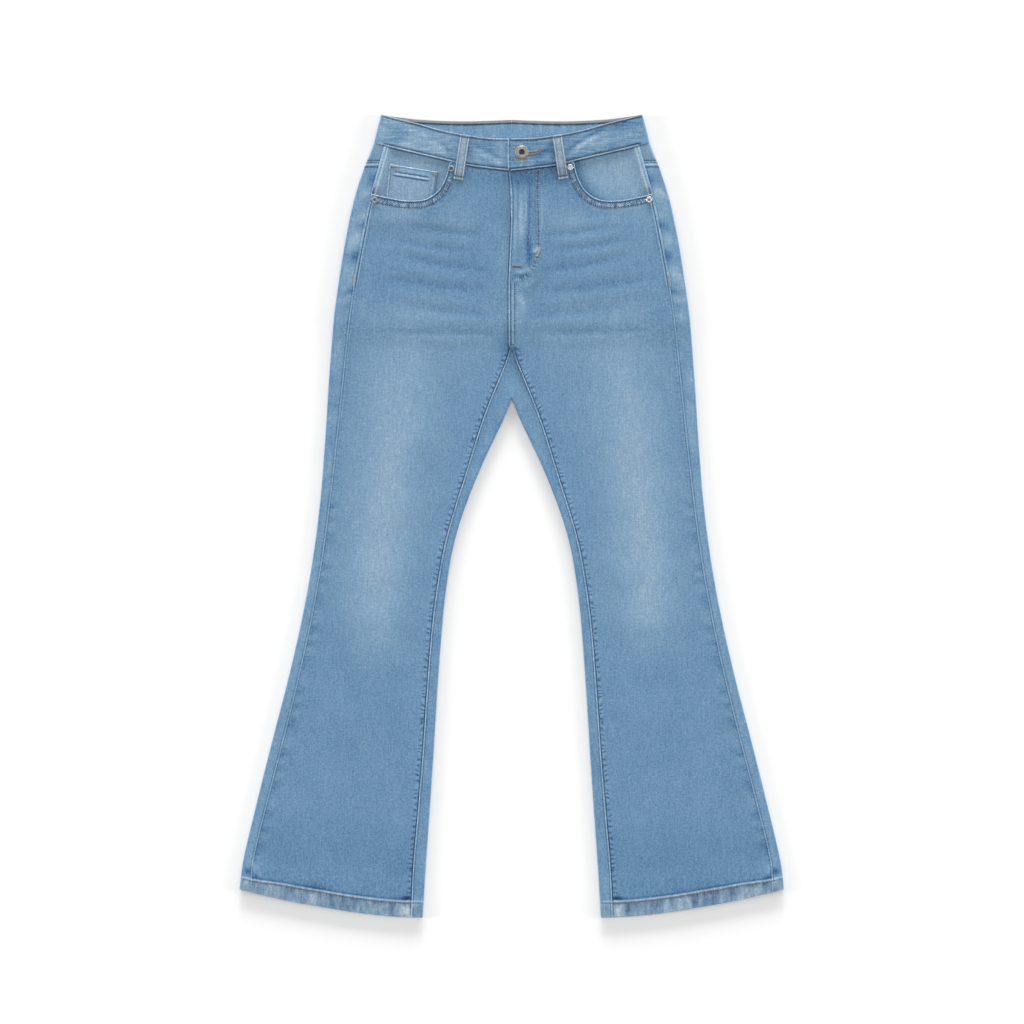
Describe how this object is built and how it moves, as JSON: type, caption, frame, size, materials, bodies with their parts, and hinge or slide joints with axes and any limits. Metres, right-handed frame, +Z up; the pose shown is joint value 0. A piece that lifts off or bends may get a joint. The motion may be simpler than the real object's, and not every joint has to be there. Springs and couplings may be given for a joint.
{
  "type": "jeans",
  "caption": "Faded blue denim jeans laid flat front up, with a lapped zip fly, metal button, curved front pockets, belt loops, back yokes, back pockets and stitched hems.",
  "frame": {"origin": "centre of the laid garment's box, on the surface it lies on", "axes": "+Y from the hems to the waist, +X to the wearer's left, +Z up out of the front"},
  "size_m": [0.713, 1.0505, 0.0121],
  "materials": {
    "denim": "washed twill",
    "inset_denim": "washed twill",
    "loop_denim": "washed twill",
    "zip_tape": "matt",
    "copper": "aged",
    "nickel": "satin"
  },
  "bodies": {
    "root": {"back_left": "denim", "back_pocket_left": "denim", "back_pocket_right": "denim", "back_right": "denim", "button": "copper", "coin_pocket": "inset_denim", "fly_shield": "denim", "front_left": "denim", "front_right": "denim", "loop_centre_back": "loop_denim", "loop_front_left": "loop_denim", "loop_front_right": "loop_denim", "loop_side_left": "loop_denim", "loop_side_right": "loop_denim", "pocket_facing_left": "inset_denim", "pocket_facing_right": "inset_denim", "rivet_1": "nickel", "rivet_2": "nickel", "rivet_3": "nickel", "rivet_4": "nickel", "waistband_left": "denim", "waistband_right": "denim", "yoke_left": "denim", "yoke_right": "denim", "zip": "zip_tape"}
  },
  "joints": []
}
